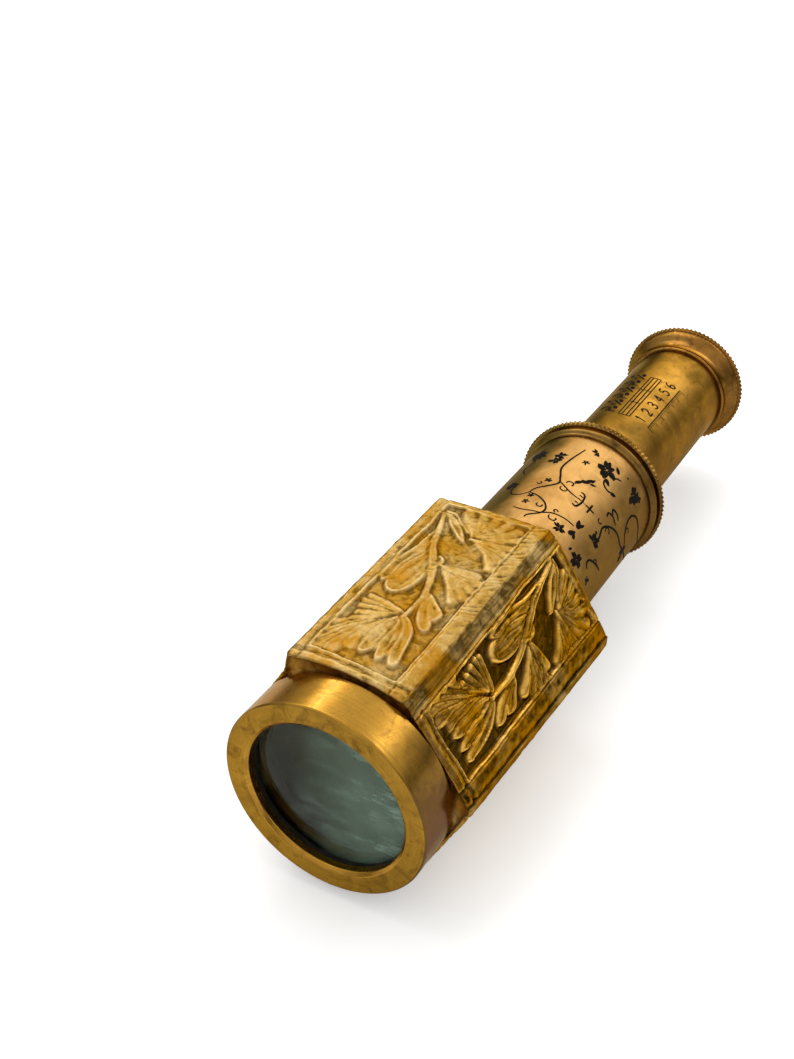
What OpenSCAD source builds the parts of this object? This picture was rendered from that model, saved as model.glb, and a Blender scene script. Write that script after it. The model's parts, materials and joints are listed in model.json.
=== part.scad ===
// Pocket spyglass with three draws: a cast hexagonal sleeve on the body tube, an
// engraved middle draw and a plain eyepiece draw, shown pulled out to full length.
// The optical axis lies along X with the objective at the low end, and the lower
// flat of the hexagon lies on Z = 0. Stations along the axis are measured from the
// front face of the objective ring.

/* [Objective end] */
// Wall of the turned ring round the body tube
bezel_wall = 1.6; // [1.2:0.1:2.2]
// Length of the turned ring
bezel_len = 8.5; // [8.2:0.1:10]
// Thickness of the ring's front lip
bezel_lip = 2.6; // [2:0.1:2.8]
// Radial width of the lip's seat for the objective
lens_seat = 1.45; // [1.2:0.05:2.2]
// Bevel on the ring's outer edges
bezel_bevel = 0.45; // [0.2:0.05:0.8]
// Bevel on the edge of the clear opening
aperture_bevel = 0.6; // [0.3:0.05:0.9]
// Radial thickness of the ring that holds the objective
keeper_width = 1.6; // [1.2:0.1:2]
// Length of the ring that holds the objective
keeper_len = 1.4; // [1:0.1:1.6]

/* [Objective lens] */
// Radius of curvature of the front glass surface
crown_front_curve = 110; // [90:5:160]
// Radius of curvature of the cemented surface between the two glasses
cement_curve = 60; // [55:5:90]
// Edge thickness of the crown glass
crown_edge = 1.3; // [1.1:0.1:1.5]
// Centre thickness of the flint glass
flint_centre = 1.3; // [1.1:0.1:1.5]

/* [Body] */
// Width of the hexagonal sleeve across its flats at the rear
sleeve_flats = 40.4; // [37:0.2:44]
// Thickness of the sleeve at the middle of its flats at the rear
sleeve_wall = 3.8; // [3.6:0.1:4.2]
// Size of the sleeve's front as a share of its rear, tapered up from the lower flat
sleeve_taper = 0.966; // [0.955:0.001:1]
// Wall of the body tube
body_wall = 1; // [0.8:0.05:1.2]
// Length of the hexagonal sleeve
sleeve_len = 49; // [47:0.1:52]
// Length of the tapered nose at each end of the sleeve
nose_len = 1.1; // [0.8:0.1:1.6]
// Width of a corner strip taken from each broad face
cut_broad = 1.2; // [0.8:0.1:1.6]
// Width of a corner strip taken from each narrow face
cut_narrow = 3; // [2.4:0.1:3.4]
// Length of the bush that guides the middle draw
bush_len = 7.3; // [5:0.1:8]
// Thickness of the flange on the guide bush
bush_flange = 0.8; // [0.6:0.1:1.2]
// Radial width of the flange on the guide bush over the body bore
bush_flange_w = 1.7; // [1.4:0.1:2]
// Radial room between the body bore and the middle draw
bush_room = 1.9; // [1.6:0.05:2.2]

/* [Embossed panels] */
// Depth of the sunk ground of each panel
panel_depth = 0.9; // [0.6:0.05:1.1]
// Height of the raised foliage over the ground
relief_h = 0.7; // [0.4:0.05:0.8]
// Border at the ends of each panel
end_border = 0.9; // [0.7:0.1:2.4]
// Side border of the broad panels
side_border_broad = 2.2; // [1.8:0.1:2.8]
// Side border of the narrow panels
side_border_narrow = 1.1; // [0.8:0.1:1.6]
// Width of the main stem of the foliage
stem_w = 1.15; // [0.8:0.05:1.4]

/* [Middle draw] */
// Wall of the middle draw tube
mid_wall = 0.6; // [0.5:0.05:0.7]
// Length of the middle draw that shows behind the sleeve
mid_show = 41; // [40:0.1:45]
// Length of the stop ring on the middle draw
mid_stop_len = 2; // [1.6:0.1:2.4]
// Thickness of the light baffle in the middle draw
baffle_t = 0.8; // [0.6:0.1:1]
// Radial width of the light baffle
baffle_w = 3.9; // [3:0.1:4.8]

/* [Collar] */
// Length of the collar outside the middle draw
collar_len = 4.1; // [4:0.1:5]
// Height of the collar's front lip over the middle draw
collar_lip = 0.45; // [0.35:0.05:0.6]
// Radius of the bead's round section
bead_round = 0.75; // [0.6:0.05:0.85]
// Length of the bead's seat from the front lip to its middle
bead_at = 1.15; // [1.05:0.05:1.2]
// Height of the collar's knurled teeth over the middle draw
collar_rise = 1.85; // [1.7:0.05:2.1]
// Length of the collar's knurled edge
collar_knurl_len = 1.3; // [1.1:0.1:1.5]
// Number of teeth on the collar
collar_teeth = 96; // [72:1:120]
// Depth of the teeth on both knurled edges
tooth_depth = 0.32; // [0.2:0.02:0.4]
// Length of the collar's inner skirt that guides the eyepiece draw
skirt_len = 7; // [6:0.1:8]

/* [Eyepiece draw] */
// Radial room between the bore of the middle draw and the eyepiece draw
skirt_room = 2.35; // [2.1:0.05:2.6]
// Wall of the eyepiece draw tube
eye_wall = 0.5; // [0.4:0.05:0.6]
// Length of the eyepiece draw that shows behind the collar
eye_show = 45; // [44:0.1:48]
// Length of the stop ring on the eyepiece draw
eye_stop_len = 2; // [1.6:0.1:2.4]

/* [Eyepiece cap] */
// Length of the eyepiece cap
cap_len = 7.3; // [7:0.1:8]
// Length of the tube that is held in the cap
cap_socket = 2.8; // [2.4:0.1:3]
// Radius of the round section of the small rim on the cap's neck
cap_rim_round = 0.28; // [0.2:0.02:0.36]
// Wall of the cap's neck over the eyepiece draw
cap_neck = 0.55; // [0.5:0.05:0.65]
// Height of the cap's knurled teeth over the eyepiece draw
cap_rise = 3.05; // [2.85:0.05:3.25]
// Length of the cap's knurled edge
cap_knurl_len = 1.2; // [1.1:0.1:1.4]
// Number of teeth on the cap
cap_teeth = 84; // [60:1:110]
// Radius of the hole that the eye looks into
eye_hole_r = 5.2; // [4.5:0.1:6]
// Radial width of the cap's rim round the shallow dish
dish_rim = 3.4; // [3:0.1:4.2]
// Depth of the shallow dish round the eye hole
eye_dish_depth = 1.5; // [1:0.1:1.8]

/* [Erector and eyepiece] */
// Wall of the erector tube and of the eyepiece cell
cell_wall = 0.6; // [0.5:0.05:0.7]
// Length of the erector tube
erector_len = 22; // [20:0.5:26]
// Set-back of the erector tube from the front of the draw tube
erector_inset = 0.8; // [0.5:0.1:1.5]
// Length of the eyepiece cell
cell_len = 18; // [16:0.5:22]
// Thickness of the front lip of each cell
cell_lip_t = 0.8; // [0.6:0.1:1]
// Radial width of the front lip of each cell
cell_lip_w = 0.8; // [0.6:0.1:1]
// Wall of the spacer tubes between lenses
spacer_wall = 0.4; // [0.3:0.05:0.5]
// Thickness of the diaphragm in each spacer
stop_t = 0.6; // [0.5:0.1:0.8]
// Radius of the hole in the erector's diaphragm
erector_stop_r = 2.4; // [2:0.1:3]
// Radius of the hole in the eyepiece's field stop
field_stop_r = 5.6; // [5:0.1:6]
// Length of the threaded ring that closes each cell
cell_ring_len = 1.4; // [1:0.1:1.6]
// Edge thickness of the small lenses
small_lens_edge = 1.1; // [0.9:0.1:1.3]
// Radius of curvature of the erector lenses
erector_curve = 24; // [20:1:30]
// Radius of curvature of the field lens and the eye lens
eyepiece_curve = 20; // [18:1:26]

/* [Fits] */
// Radial clearance of a draw tube in its guide
run_gap = 0.06; // [0.03:0.01:0.09]
// Radial clearance of a stop ring in the tube round it
ring_gap = 0.1; // [0.05:0.01:0.2]
// Clearance between pieces that are screwed or pressed together
seat_gap = 0.02; // [0.01:0.01:0.04]
// Gap left between a stop ring and its stop when pulled out
stop_gap = 0.2; // [0.1:0.05:0.4]

/* [Hidden] */
$fn = 96;
lens_fn = 360;

// Depth of a spherical cap of radius of curvature c at radius r
function sag(c, r) = c - sqrt(c * c - r * r);

// Radii, from the sleeve inwards
flat_h = sleeve_flats / 2;
body_r = flat_h - sleeve_wall;
body_bore_r = body_r - body_wall;
bezel_r = body_r + bezel_wall;
aperture_r = body_bore_r - lens_seat;
objective_r = body_bore_r - seat_gap;
mid_r = body_bore_r - bush_room;
mid_bore_r = mid_r - mid_wall;
collar_lip_r = mid_r + collar_lip;
collar_knurl_r = mid_r + collar_rise;
eye_r = mid_bore_r - skirt_room;
eye_bore_r = eye_r - eye_wall;
cap_neck_r = eye_r + cap_neck;
cap_knurl_r = eye_r + cap_rise;
eye_dish_r = cap_knurl_r - dish_rim;
// Stations of the objective
crown_s = bezel_lip + sag(crown_front_curve, objective_r)
    - sag(crown_front_curve, aperture_r);
cement_s = crown_s + crown_edge;
cement_sag = sag(cement_curve, objective_r);
flint_end_s = cement_s + cement_sag + flint_centre;
keeper_end_s = flint_end_s + keeper_len;
// Stations of the body
sleeve_s = bezel_len + seat_gap;
sleeve_end_s = sleeve_s + sleeve_len;
bush_s = sleeve_end_s - bush_len;
bush_end_s = sleeve_end_s + bush_flange;
// Stations of the middle draw
mid_stop_end_s = bush_s - stop_gap;
mid_s = mid_stop_end_s - mid_stop_len;
collar_s = sleeve_end_s + mid_show;
collar_web = 1.1;
collar_end_s = collar_s + collar_len;
mid_end_s = collar_end_s - collar_web - seat_gap;
collar_knurl_s = collar_end_s - collar_knurl_len - 0.5;
// Stations of the eyepiece draw
skirt_s = collar_s - skirt_len;
eye_stop_end_s = skirt_s - stop_gap;
eye_s = eye_stop_end_s - eye_stop_len;
cap_s = collar_end_s + eye_show;
eye_end_s = cap_s + cap_socket;
cap_end_s = cap_s + cap_len;
cap_knurl_s = cap_end_s - cap_knurl_len - 0.6;
// Cells inside the eyepiece draw
cell_r = eye_bore_r - seat_gap;
cell_bore_r = cell_r - cell_wall;
lens_r = cell_bore_r - seat_gap;
erector_s = eye_s + erector_inset;
erector_end_s = erector_s + erector_len;
cell_end_s = eye_end_s;
cell_s = cell_end_s - cell_len;
// How far a bulging face stands past its edge at the inside of a ring of width w
function rise(c, w) = sag(c, lens_r) - sag(c, lens_r - w);
// Whole object
total_len = cap_end_s;

module along_axis() {
    translate([-total_len / 2, 0, flat_h]) rotate([0, 90, 0]) children();
}

// A turned piece from its half section, given as [radius, station] points
module turned(points) {
    along_axis() rotate_extrude() polygon(points);
}

// A plain ring or tube between two stations
module ring(inner, outer, from, to) {
    turned([[inner, from], [outer, from], [outer, to], [inner, to]]);
}

// A ring with a bevel on both outer edges
module bevelled_ring(inner, outer, from, to, bevel) {
    turned([[inner, from], [outer - bevel, from], [outer, from + bevel],
        [outer, to - bevel], [outer - bevel, to], [inner, to]]);
}

// A toothed disc: straight knurling, cut back along both edges by a shallow cone
// that starts just below the roots of the teeth
module knurl(outer, teeth, len) {
    tooth_a = 360 / teeth;
    cut = 1.3 * tooth_depth;
    intersection() {
        linear_extrude(height = len) polygon([for (i = [0 : teeth - 1])
            for (p = [[0, tooth_depth], [0.28, 0], [0.62, 0], [0.9, tooth_depth]])
            (outer - p[1]) * [cos((i + p[0]) * tooth_a), sin((i + p[0]) * tooth_a)]]);
        rotate_extrude() polygon([[0, 0], [outer - cut, 0], [outer + cut, cut],
            [outer + cut, len - cut], [outer - cut, len], [0, len]]);
    }
}

// Objective
module objective_bezel() {
    color("goldenrod")
    turned([[aperture_r + aperture_bevel, 0], [bezel_r - bezel_bevel, 0],
        [bezel_r, bezel_bevel], [bezel_r, bezel_len - bezel_bevel],
        [bezel_r - bezel_bevel, bezel_len], [body_r + seat_gap, bezel_len],
        [body_r + seat_gap, bezel_lip], [aperture_r, bezel_lip],
        [aperture_r, aperture_bevel]]);
}

module objective_crown_lens() {
    front_s = crown_s - sag(crown_front_curve, objective_r);
    back_s = cement_s + cement_sag;
    color("lightcyan", 0.5)
    along_axis() intersection() {
        translate([0, 0, front_s]) cylinder(r = objective_r, h = back_s - front_s);
        translate([0, 0, front_s + crown_front_curve]) sphere(r = crown_front_curve, $fn = lens_fn);
        translate([0, 0, back_s - cement_curve]) sphere(r = cement_curve, $fn = lens_fn);
    }
}

module objective_flint_lens() {
    color("lightsteelblue", 0.5)
    along_axis() difference() {
        translate([0, 0, cement_s]) cylinder(r = objective_r, h = flint_end_s - cement_s);
        translate([0, 0, cement_s + cement_sag - cement_curve + seat_gap])
            sphere(r = cement_curve, $fn = lens_fn);
    }
}

module objective_retaining_ring() {
    color("dimgray")
    bevelled_ring(objective_r - keeper_width, objective_r, flint_end_s + seat_gap,
        keeper_end_s, 0.2);
}

// Body
module body_tube() {
    color("darkgoldenrod") ring(body_bore_r, body_r, bezel_lip, sleeve_end_s);
}

// Outline of the sleeve: broad and narrow faces in turn, with a strip at each corner
half_side = flat_h * tan(30);
function face_point(k, along) = [
    flat_h * cos(180 + 60 * k) - along * sin(180 + 60 * k),
    flat_h * sin(180 + 60 * k) + along * cos(180 + 60 * k)];
function face_half(k) = half_side - (k % 2 == 0 ? cut_broad : cut_narrow);

module sleeve_outline() {
    polygon([for (k = [0 : 5]) for (e = [-1, 1]) face_point(k, e * face_half(k))]);
}

// The outline at the front, drawn in towards the middle of the lower flat
module front_outline() {
    translate([flat_h, 0]) scale(sleeve_taper) translate([-flat_h, 0]) sleeve_outline();
}

// Puts its children on face k: X along the axis, Z out of the face. The rear of the
// face is flat_h from the axis, and the face leans in and drifts sideways to the front
module on_face(k) {
    drift = (1 - sleeve_taper) * flat_h / (sleeve_len - 2 * nose_len);
    lean = atan(drift * (1 + cos(60 * k)));
    skew = atan(drift * sin(60 * k));
    rotate([0, 0, 180 + 60 * k]) translate([flat_h, 0, sleeve_end_s - nose_len])
        rotate([0, lean, 0]) rotate([skew, 0, 0])
        translate([0, 0, nose_len - sleeve_end_s]) rotate(a = 180, v = [1, 0, 1])
        children();
}
panel_from = sleeve_s + nose_len + end_border;
panel_len = sleeve_len - 2 * nose_len - 2 * end_border;
function panel_half(k) = face_half(k) - (k % 2 == 0 ? side_border_broad : side_border_narrow);

// One rib or petal with its foot at the origin, pointing along X
module petal(len, w) {
    steps = 6;
    polygon(concat(
        [for (i = [0 : steps]) [len * i / steps, w / 2 * pow(sin(180 * i / steps), 0.6)]],
        [for (i = [1 : steps - 1])
            [len * (1 - i / steps), -w / 2 * pow(sin(180 * i / steps), 0.6)]]));
}

// Ribs or petals from one foot to each tip, each as wide as its share of its length
module spray(foot, tips, share) {
    for (tip = tips) {
        d = tip - foot;
        translate(foot) rotate(atan2(d[1], d[0])) petal(norm(d), norm(d) * share);
    }
}

// A tapered run of stem through a list of points
module stem(points, w) {
    last = len(points) - 1;
    // Half of the stem's width at point i, at right angles to its neighbours' line
    side = function(i) let (d = points[min(i + 1, last)] - points[max(i - 1, 0)])
        [-d[1], d[0]] / norm(d) * w * (0.5 - 0.22 * i / last);
    polygon(concat([for (i = [0 : last]) points[i] + side(i)],
        [for (i = [last : -1 : 0]) points[i] - side(i)]));
}

// The foliage of one panel. Places are shares of the panel's length and half width
module foliage(len, half) {
    at = function(t, v) [t * len, v * half];
    all_at = function(list) [for (p = list) at(p[0], p[1])];
    joint = at(0.291, 0.01);
    // Flower at the front: two ribbed fans and a tulip
    spray(joint, all_at([[0.074, 0.39], [0.065, 0.75], [0.130, 0.95], [0.200, 0.95]]), 0.32);
    spray(joint, all_at([[0.241, 0.85], [0.302, 0.95], [0.366, 0.90], [0.366, 0.56]]), 0.3);
    spray(at(0.278, -0.05), all_at([[0.074, 0.04], [0.060, -0.29], [0.088, -0.61]]), 0.3);
    // Two-pronged leaf under the joint
    spray(at(0.390, -0.10), all_at([[0.278, -0.71], [0.366, -0.74]]), 0.3);
    // Main stem, up to the rear corner
    stem(all_at([[0.262, 0], [0.430, 0], [0.520, 0.10], [0.644, 0.38],
        [0.742, 0.65], [0.928, 0.91]]), stem_w);
    // Leaf over the stem and ribbed fan under it
    spray(at(0.687, 0.52), all_at([[0.427, 0.48], [0.464, 0.77], [0.557, 0.94]]), 0.28);
    spray(at(0.631, 0.22), all_at([[0.464, -0.55], [0.520, -0.77], [0.589, -0.82],
        [0.649, -0.69]]), 0.22);
    // Drop and flower at the rear
    spray(at(0.905, 0.79), all_at([[0.775, 0.18]]), 0.3);
    stem(all_at([[0.696, 0.51], [0.770, 0.26], [0.835, 0.09]]), stem_w * 0.8);
    spray(at(0.835, 0.10), all_at([[0.738, -0.77], [0.798, -0.86], [0.858, -0.84]]), 0.22);
    spray(at(0.844, 0.10), all_at([[0.942, 0.03], [0.951, -0.35], [0.928, -0.73]]), 0.3);
}

module embossed_sleeve() {
    nose = (flat_h - nose_len * 0.9) / flat_h;
    color("peru")
    along_axis() {
        difference() {
            union() {
                translate([0, 0, sleeve_s + nose_len]) mirror([0, 0, 1])
                    linear_extrude(height = nose_len, scale = nose) front_outline();
                translate([flat_h, 0, sleeve_end_s - nose_len]) mirror([0, 0, 1])
                    linear_extrude(height = sleeve_len - 2 * nose_len, scale = sleeve_taper)
                    translate([-flat_h, 0]) sleeve_outline();
                translate([0, 0, sleeve_end_s - nose_len])
                    linear_extrude(height = nose_len, scale = nose) sleeve_outline();
            }
            translate([0, 0, sleeve_s - 1])
                cylinder(r = body_r + seat_gap, h = sleeve_len + 2);
            for (k = [0 : 5]) on_face(k) translate([panel_from, -panel_half(k), -panel_depth])
                cube([panel_len, 2 * panel_half(k), panel_depth + 1]);
        }
        for (k = [0 : 5]) on_face(k) translate([panel_from, 0, -panel_depth - 0.2])
            linear_extrude(height = relief_h + 0.2) intersection() {
                foliage(panel_len, panel_half(k));
                translate([-1, -panel_half(k)]) square([panel_len + 2, 2 * panel_half(k)]);
            }
    }
}

module body_guide_bush() {
    color("goldenrod")
    turned([[mid_r + run_gap, bush_s], [body_bore_r - seat_gap, bush_s],
        [body_bore_r - seat_gap, sleeve_end_s + seat_gap],
        [body_bore_r + bush_flange_w, sleeve_end_s + seat_gap],
        [body_bore_r + bush_flange_w, bush_end_s], [mid_r + run_gap, bush_end_s]]);
}

// Middle draw
module middle_draw_tube() {
    color("sandybrown") ring(mid_bore_r, mid_r, mid_s, mid_end_s);
}

module middle_stop_ring() {
    color("goldenrod")
    bevelled_ring(mid_r + seat_gap, body_bore_r - ring_gap, mid_s, mid_stop_end_s, 0.2);
}

module middle_baffle() {
    color("dimgray")
    ring(mid_bore_r - baffle_w, mid_bore_r - seat_gap, mid_s, mid_s + baffle_t);
}

module middle_collar() {
    lap = 0.3;
    guide_r = eye_r + run_gap;
    color("goldenrod")
    along_axis() {
        rotate_extrude() {
            // Lip, cove and land outside the tube
            polygon([[mid_r + seat_gap, collar_s], [collar_lip_r, collar_s],
                [collar_lip_r, collar_knurl_s],
                [collar_knurl_r - tooth_depth - 0.25, collar_knurl_s],
                [collar_knurl_r - tooth_depth - 0.25, collar_end_s],
                [guide_r, collar_end_s], [guide_r, skirt_s],
                [mid_bore_r - seat_gap, skirt_s],
                [mid_bore_r - seat_gap, collar_end_s - collar_web],
                [mid_r + seat_gap, collar_end_s - collar_web]]);
            // Rounded bead, clear of the tube
            intersection() {
                translate([collar_lip_r, collar_s + bead_at]) circle(r = bead_round);
                translate([mid_r + collar_lip / 2, collar_s]) square([2, 2 * bead_at]);
            }
        }
        translate([0, 0, collar_knurl_s]) difference() {
            knurl(collar_knurl_r, collar_teeth, collar_knurl_len);
            translate([0, 0, -1])
                cylinder(r = collar_knurl_r - tooth_depth - lap - 0.25, h = collar_knurl_len + 2);
        }
    }
}

// Eyepiece draw
module eyepiece_draw_tube() {
    color("khaki") ring(eye_bore_r, eye_r, eye_s, eye_end_s);
}

module eyepiece_stop_ring() {
    color("goldenrod")
    bevelled_ring(eye_r + seat_gap, mid_bore_r - ring_gap, eye_s, eye_stop_end_s, 0.2);
}

// A cell with a front lip that its first lens rests on
module cell(from, to) {
    turned([[cell_bore_r - cell_lip_w, from], [cell_r, from], [cell_r, to],
        [cell_bore_r, to], [cell_bore_r, from + cell_lip_t],
        [cell_bore_r - cell_lip_w, from + cell_lip_t]]);
}

// A small lens that is flat at one station and bulges past the other end of its edge
module small_lens(flat_s, edge, curve, way) {
    bulge = sag(curve, lens_r);
    along_axis() translate([0, 0, flat_s]) mirror([0, 0, way < 0 ? 1 : 0]) intersection() {
        cylinder(r = lens_r, h = edge + bulge);
        translate([0, 0, edge + bulge - curve]) sphere(r = curve, $fn = lens_fn);
    }
}

// A spacer tube with a diaphragm across its middle
module stop_spacer(from, to, hole) {
    mid = (from + to) / 2;
    turned([[lens_r - spacer_wall, from], [lens_r, from], [lens_r, to],
        [lens_r - spacer_wall, to], [lens_r - spacer_wall, mid + stop_t / 2],
        [hole, mid + stop_t / 2], [hole, mid - stop_t / 2],
        [lens_r - spacer_wall, mid - stop_t / 2]]);
}

erector_front_s = erector_s + cell_lip_t;
erector_rear_s = erector_end_s - cell_ring_len;
// From a lens's flat face to the spacer that bears on its bulging face
erector_seat = small_lens_edge + rise(erector_curve, spacer_wall) + seat_gap;
eyepiece_seat = small_lens_edge + rise(eyepiece_curve, spacer_wall) + seat_gap;

module erector_tube() {
    color("darkgoldenrod") cell(erector_s, erector_end_s);
}

module erector_front_lens() {
    color("lightcyan", 0.5) small_lens(erector_front_s, small_lens_edge, erector_curve, 1);
}

module erector_spacer() {
    color("dimgray")
    stop_spacer(erector_front_s + erector_seat, erector_rear_s - erector_seat,
        erector_stop_r);
}

module erector_rear_lens() {
    color("lightcyan", 0.5) small_lens(erector_rear_s, small_lens_edge, erector_curve, -1);
}

module erector_retaining_ring() {
    color("dimgray")
    ring(cell_bore_r - cell_lip_w, lens_r, erector_rear_s + seat_gap, erector_end_s);
}

// The field lens bulges to the front, past the lip of its cell
field_flat_s = cell_s + cell_lip_t + rise(eyepiece_curve, cell_lip_w) + small_lens_edge;
eye_ring_s = cell_end_s - cell_ring_len;

module eyepiece_cell() {
    color("darkgoldenrod") cell(cell_s, cell_end_s - seat_gap);
}

module field_lens() {
    color("lightcyan", 0.5) small_lens(field_flat_s, small_lens_edge, eyepiece_curve, -1);
}

module eyepiece_spacer() {
    color("dimgray")
    stop_spacer(field_flat_s + seat_gap, eye_ring_s - eyepiece_seat, field_stop_r);
}

module eye_lens() {
    color("lightcyan", 0.5) small_lens(eye_ring_s, small_lens_edge, eyepiece_curve, -1);
}

module eye_lens_retaining_ring() {
    color("dimgray")
    ring(cell_bore_r - cell_lip_w, lens_r, eye_ring_s + seat_gap, cell_end_s - seat_gap);
}

module eyepiece_cap() {
    land_r = cap_knurl_r - tooth_depth - 0.2;
    rim_land = 0.1;
    // Height and reach of the flare, from the neck to the knurled edge
    rise = land_r - cap_neck_r;
    neck_s = cap_s + 1.3;
    reach = cap_knurl_s - neck_s;
    dish_s = cap_end_s - eye_dish_depth;
    dish_floor_r = eye_hole_r + 1;
    color("darkgoldenrod")
    along_axis() {
        rotate_extrude() difference() {
            union() {
                polygon([[eye_hole_r, cap_s], [cap_neck_r, cap_s],
                    [cap_neck_r, neck_s + reach * 0.25],
                    [cap_neck_r + rise * 0.12, neck_s + reach * 0.42],
                    [cap_neck_r + rise * 0.38, neck_s + reach * 0.56],
                    [cap_neck_r + rise * 0.72, neck_s + reach * 0.68],
                    [cap_neck_r + rise * 0.93, neck_s + reach * 0.82],
                    [land_r, cap_knurl_s], [land_r, cap_end_s - 0.35],
                    [land_r - 0.35, cap_end_s], [eye_hole_r, cap_end_s]]);
                translate([cap_neck_r, cap_s + cap_rim_round + rim_land])
                    circle(r = cap_rim_round);
            }
            // Socket for the tube
            translate([eye_hole_r - 1, cap_s - 1])
                square([eye_r + seat_gap - eye_hole_r + 1, cap_socket + 1 + seat_gap]);
            // Shallow dish for the eye, carried on past the end face
            polygon([[eye_hole_r - 1, dish_s], [dish_floor_r, dish_s],
                [dish_floor_r + 2 * (eye_dish_r - dish_floor_r), cap_end_s + eye_dish_depth],
                [eye_hole_r - 1, cap_end_s + eye_dish_depth]]);
        }
        translate([0, 0, cap_knurl_s]) difference() {
            knurl(cap_knurl_r, cap_teeth, cap_knurl_len);
            translate([0, 0, -1])
                cylinder(r = land_r - 0.3, h = cap_knurl_len + 2);
        }
    }
}

objective_bezel();
objective_crown_lens();
objective_flint_lens();
objective_retaining_ring();
body_tube();
embossed_sleeve();
body_guide_bush();
middle_draw_tube();
middle_stop_ring();
middle_baffle();
middle_collar();
eyepiece_draw_tube();
eyepiece_stop_ring();
erector_tube();
erector_front_lens();
erector_spacer();
erector_rear_lens();
erector_retaining_ring();
eyepiece_cell();
field_lens();
eyepiece_spacer();
eye_lens();
eye_lens_retaining_ring();
eyepiece_cap();
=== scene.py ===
"""Looks of the pocket spyglass: detailed meshes, materials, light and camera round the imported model.

Stations s are millimetres along the axis from the front face of the objective ring, radii are
millimetres from the axis, and angles run from the top of the tube round towards -Y."""

import json
import math

import bpy
import numpy as np
from mathutils import Matrix, Vector


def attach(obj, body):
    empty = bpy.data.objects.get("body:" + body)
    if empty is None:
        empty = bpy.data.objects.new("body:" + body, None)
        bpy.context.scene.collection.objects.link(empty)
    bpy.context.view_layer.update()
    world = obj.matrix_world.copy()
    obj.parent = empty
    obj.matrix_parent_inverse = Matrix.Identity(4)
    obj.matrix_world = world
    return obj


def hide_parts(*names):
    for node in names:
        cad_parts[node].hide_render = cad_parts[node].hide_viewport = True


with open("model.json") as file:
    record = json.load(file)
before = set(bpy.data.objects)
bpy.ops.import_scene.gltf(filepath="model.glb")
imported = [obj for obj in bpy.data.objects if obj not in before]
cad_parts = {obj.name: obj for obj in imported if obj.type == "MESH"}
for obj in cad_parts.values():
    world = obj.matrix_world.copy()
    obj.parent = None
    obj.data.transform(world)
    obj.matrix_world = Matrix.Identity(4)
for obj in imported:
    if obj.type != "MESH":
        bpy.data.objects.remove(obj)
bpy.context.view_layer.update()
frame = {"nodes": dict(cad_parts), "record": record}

# Where the ring's front face is along x, how high the axis is over the floor, and a millimetre, in metres
FRONT_X = -0.07746
AXIS_Z = 0.0202
MM = 0.001


# ------ camera

def make_camera():
    """The photograph's view, from the camera fit."""
    data = bpy.data.cameras.new("camera")
    data.sensor_width = 36.0
    data.lens = 49.29
    data.clip_start = 0.01
    cam = bpy.data.objects.new("camera", data)
    right = Vector((0.49859, -0.86650, -0.02433))
    back = Vector((-0.71818, -0.42864, 0.54817))
    up = back.cross(right)
    turn = Matrix((right, up, back)).transposed().to_4x4()
    cam.matrix_world = Matrix.Translation((-0.2099, -0.0936, 0.1752)) @ turn
    bpy.context.scene.collection.objects.link(cam)
    bpy.context.scene.camera = cam


make_camera()


# ------ noise

class Noise:
    """Smooth random values in space, the same each run."""

    SIZE = 48

    def __init__(self, seed):
        self.grid = np.random.default_rng(seed).random((self.SIZE,) * 3)

    def __call__(self, points, scale):
        p = np.asarray(points, float) / scale
        cell = np.floor(p).astype(int)
        f = p - cell
        f = f * f * (3 - 2 * f)
        total = np.zeros(p.shape[:-1])
        for corner in np.ndindex(2, 2, 2):
            x, y, z = np.moveaxis((cell + corner) % self.SIZE, -1, 0)
            total += np.prod(np.abs(1 - np.array(corner) - f), axis=-1) * self.grid[x, y, z]
        return total * 2 - 1


# ------ mesh helpers

def grid_faces(rows, cols):
    """The quads of a grid of points that closes on itself both ways."""
    j, i = np.meshgrid(np.arange(rows), np.arange(cols), indexing="ij")
    j2, i2 = (j + 1) % rows, (i + 1) % cols
    return np.stack([j * cols + i, j * cols + i2, j2 * cols + i2, j2 * cols + i], axis=-1).reshape(-1, 4)


def eased(a, axis=0):
    """Each value averaged with its two neighbours."""
    return (np.roll(a, 1, axis) + 2 * a + np.roll(a, -1, axis)) / 4


def new_object(name, verts, faces, body, node=None, sharp=None):
    """A mesh piece from points in millimetres (s, y, z) that rides on a body, and may stand in for a node."""
    v = np.asarray(verts, float) * MM
    v[:, 0] += FRONT_X
    v[:, 2] += AXIS_Z
    mesh = bpy.data.meshes.new(name)
    mesh.from_pydata(v.tolist(), [], faces if isinstance(faces, list) else faces.tolist())
    mesh.update()
    mesh.shade_smooth()
    if sharp is not None:
        mesh.set_sharp_from_angle(angle=math.radians(sharp))
    obj = bpy.data.objects.new(name, mesh)
    bpy.context.scene.collection.objects.link(obj)
    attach(obj, body)
    if node:
        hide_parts(node)
    return obj


def softened(points, radius, steps=4):
    """A closed profile with each corner turned into a small arc. A point may carry its own radius."""
    pts = [np.array(p[:2], float) for p in points]
    sizes = [p[2] if len(p) > 2 else radius for p in points]
    out = []
    n = len(pts)
    for i in range(n):
        a, b, c = pts[i - 1], pts[i], pts[(i + 1) % n]
        la, lc = np.linalg.norm(a - b), np.linalg.norm(c - b)
        r = min(sizes[i], la * 0.4, lc * 0.4)
        if r <= 0:
            out.append(b)
            continue
        da, dc = (a - b) / la, (c - b) / lc
        # A point just outside each end of the arc keeps the shading of the flats even
        lead = min(r * 1.25, r + 0.04)
        out.append(b + da * lead)
        for k in range(steps + 1):
            t = k / steps
            out.append((1 - t) ** 2 * (b + da * r) + 2 * t * (1 - t) * b + t * t * (b + dc * r))
        out.append(b + dc * lead)
    return np.array(out)


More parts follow.
